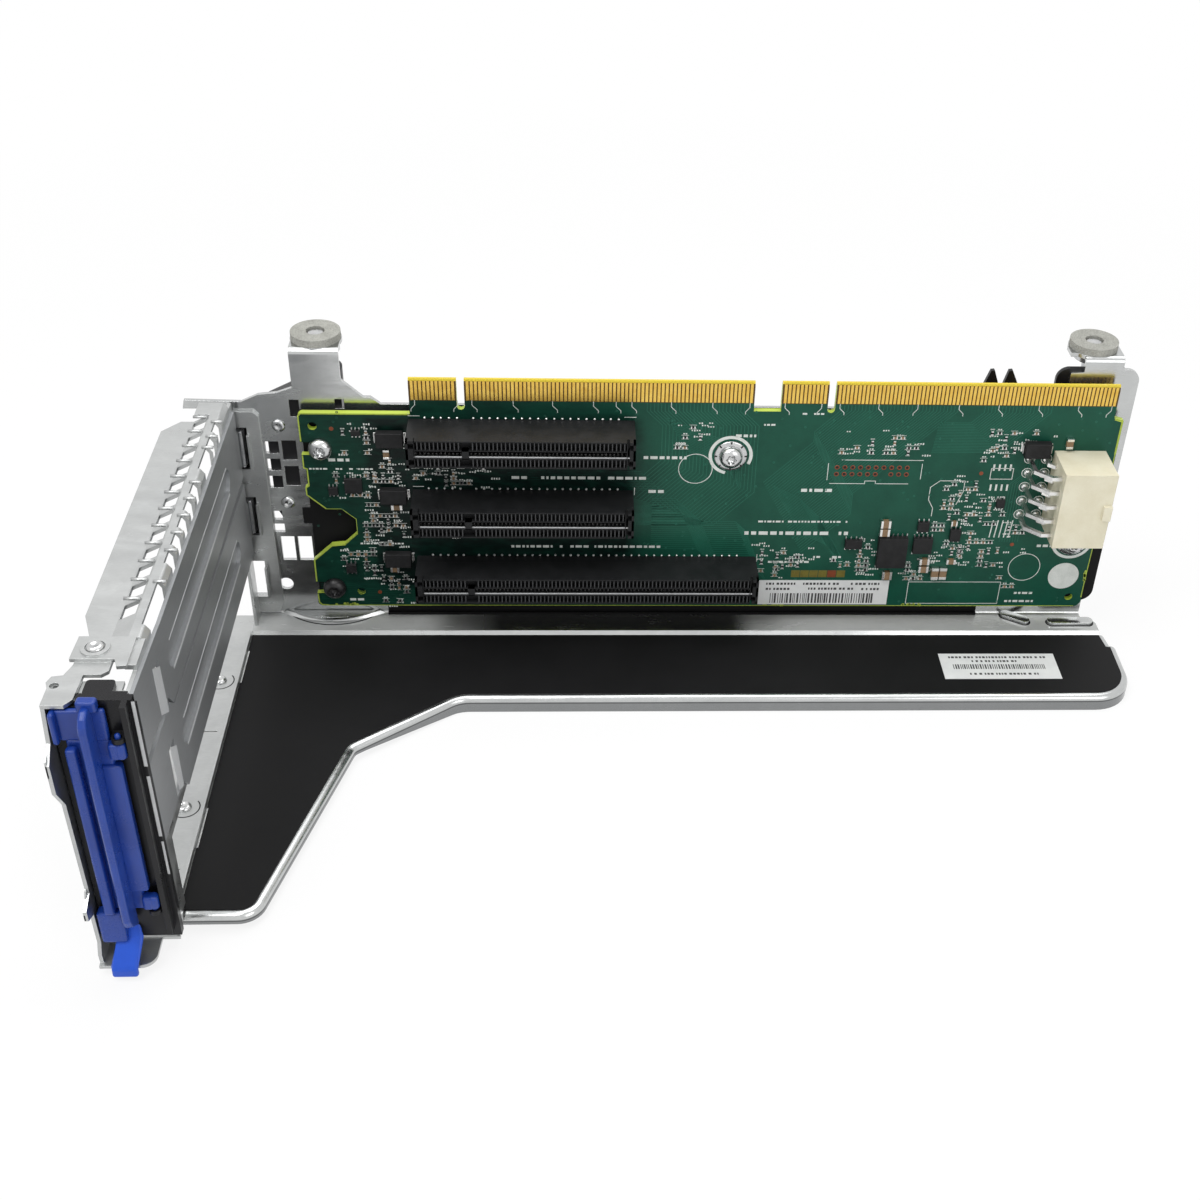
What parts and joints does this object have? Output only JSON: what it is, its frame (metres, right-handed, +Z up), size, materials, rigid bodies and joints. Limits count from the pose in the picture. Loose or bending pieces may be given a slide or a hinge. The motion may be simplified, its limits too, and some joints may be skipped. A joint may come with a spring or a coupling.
{
  "type": "riser board",
  "caption": "Folded sheet-metal riser cage for a server, carrying a vertical riser board with card slots, slot covers, a swinging card retainer and captive screws.",
  "frame": {"origin": "centre of the bounding box on the level the turned-down lip stands on", "axes": "+X along the board from the slot covers, +Y from the slots through the board to the wall's back, +Z up to the gold card edges"},
  "size_m": [0.2476, 0.1383, 0.0856],
  "materials": {
    "galvanised_sheet": "zinc-coated sheet steel, satin",
    "black_film": "smooth black insulating film",
    "paper_label": "white label stock",
    "board_laminate": "green solder mask over copper traces",
    "gold_contact": "gold plating",
    "black_connector": "moulded black plastic",
    "cream_connector": "moulded cream plastic",
    "tin_pin": "tin plating",
    "black_package": "moulded black epoxy",
    "capacitor_body": "tan ceramic with tinned ends",
    "bright_screw": "bright plating",
    "black_screw": "black oxide",
    "black_plastic": "moulded black plastic",
    "blue_plastic": "moulded blue plastic",
    "soft_pad": "grey foam"
  },
  "bodies": {
    "cage": {"cage_frame": "galvanised_sheet", "rear_panel": "galvanised_sheet", "slot_cover_upper": "galvanised_sheet", "slot_cover_lower": "galvanised_sheet", "deck_film": "black_film", "wall_film": "black_film", "deck_label": "paper_label", "board_label": "paper_label", "riser_board": "board_laminate", "edge_contacts_front": "gold_contact", "edge_contacts_rear": "gold_contact", "slot_x8_upper": "black_connector", "slot_x8_middle": "black_connector", "slot_x16_lower": "black_connector", "power_connector": "cream_connector", "power_pins": "tin_pin", "logic_chips": "black_package", "power_modules": "black_package", "tantalum_capacitors": "black_package", "ceramic_capacitors": "capacitor_body", "board_screws": "bright_screw", "board_washers": "bright_screw", "wall_rivets": "bright_screw", "panel_rivets": "bright_screw", "standoffs": "bright_screw", "board_screw_black": "black_screw", "latch_base": "black_plastic", "screw_guide_left": "black_plastic", "screw_guide_right": "black_plastic", "cable_clip": "black_plastic", "pad_left": "soft_pad", "pad_right": "soft_pad"},
    "latch": {"retainer_latch": "blue_plastic"},
    "collar_left": {"screw_collar_left": "bright_screw"},
    "screw_left": {"captive_screw_left": "bright_screw"},
    "collar_right": {"screw_collar_right": "bright_screw"},
    "screw_right": {"captive_screw_right": "bright_screw"}
  },
  "joints": [
    {"name": "latch_swing", "type": "hinge", "parent": "cage", "child": "latch", "pos_m": [-0.11, -0.0646, 0.0404], "axis": [0, 0, 1], "range_deg": [0, 95]},
    {"name": "screw_left_travel", "type": "slide", "parent": "cage", "child": "collar_left", "axis": [0, 0, 1], "range_m": [-0.0048, 0]},
    {"name": "screw_left_turn", "type": "hinge", "parent": "collar_left", "child": "screw_left", "pos_m": [-0.087, 0.0628, 0.0674], "axis": [0, 0, 1], "continuous": true},
    {"name": "screw_right_travel", "type": "slide", "parent": "cage", "child": "collar_right", "axis": [0, 0, 1], "range_m": [-0.0048, 0]},
    {"name": "screw_right_turn", "type": "hinge", "parent": "collar_right", "child": "screw_right", "pos_m": [0.1073, 0.0628, 0.0674], "axis": [0, 0, 1], "continuous": true}
  ]
}
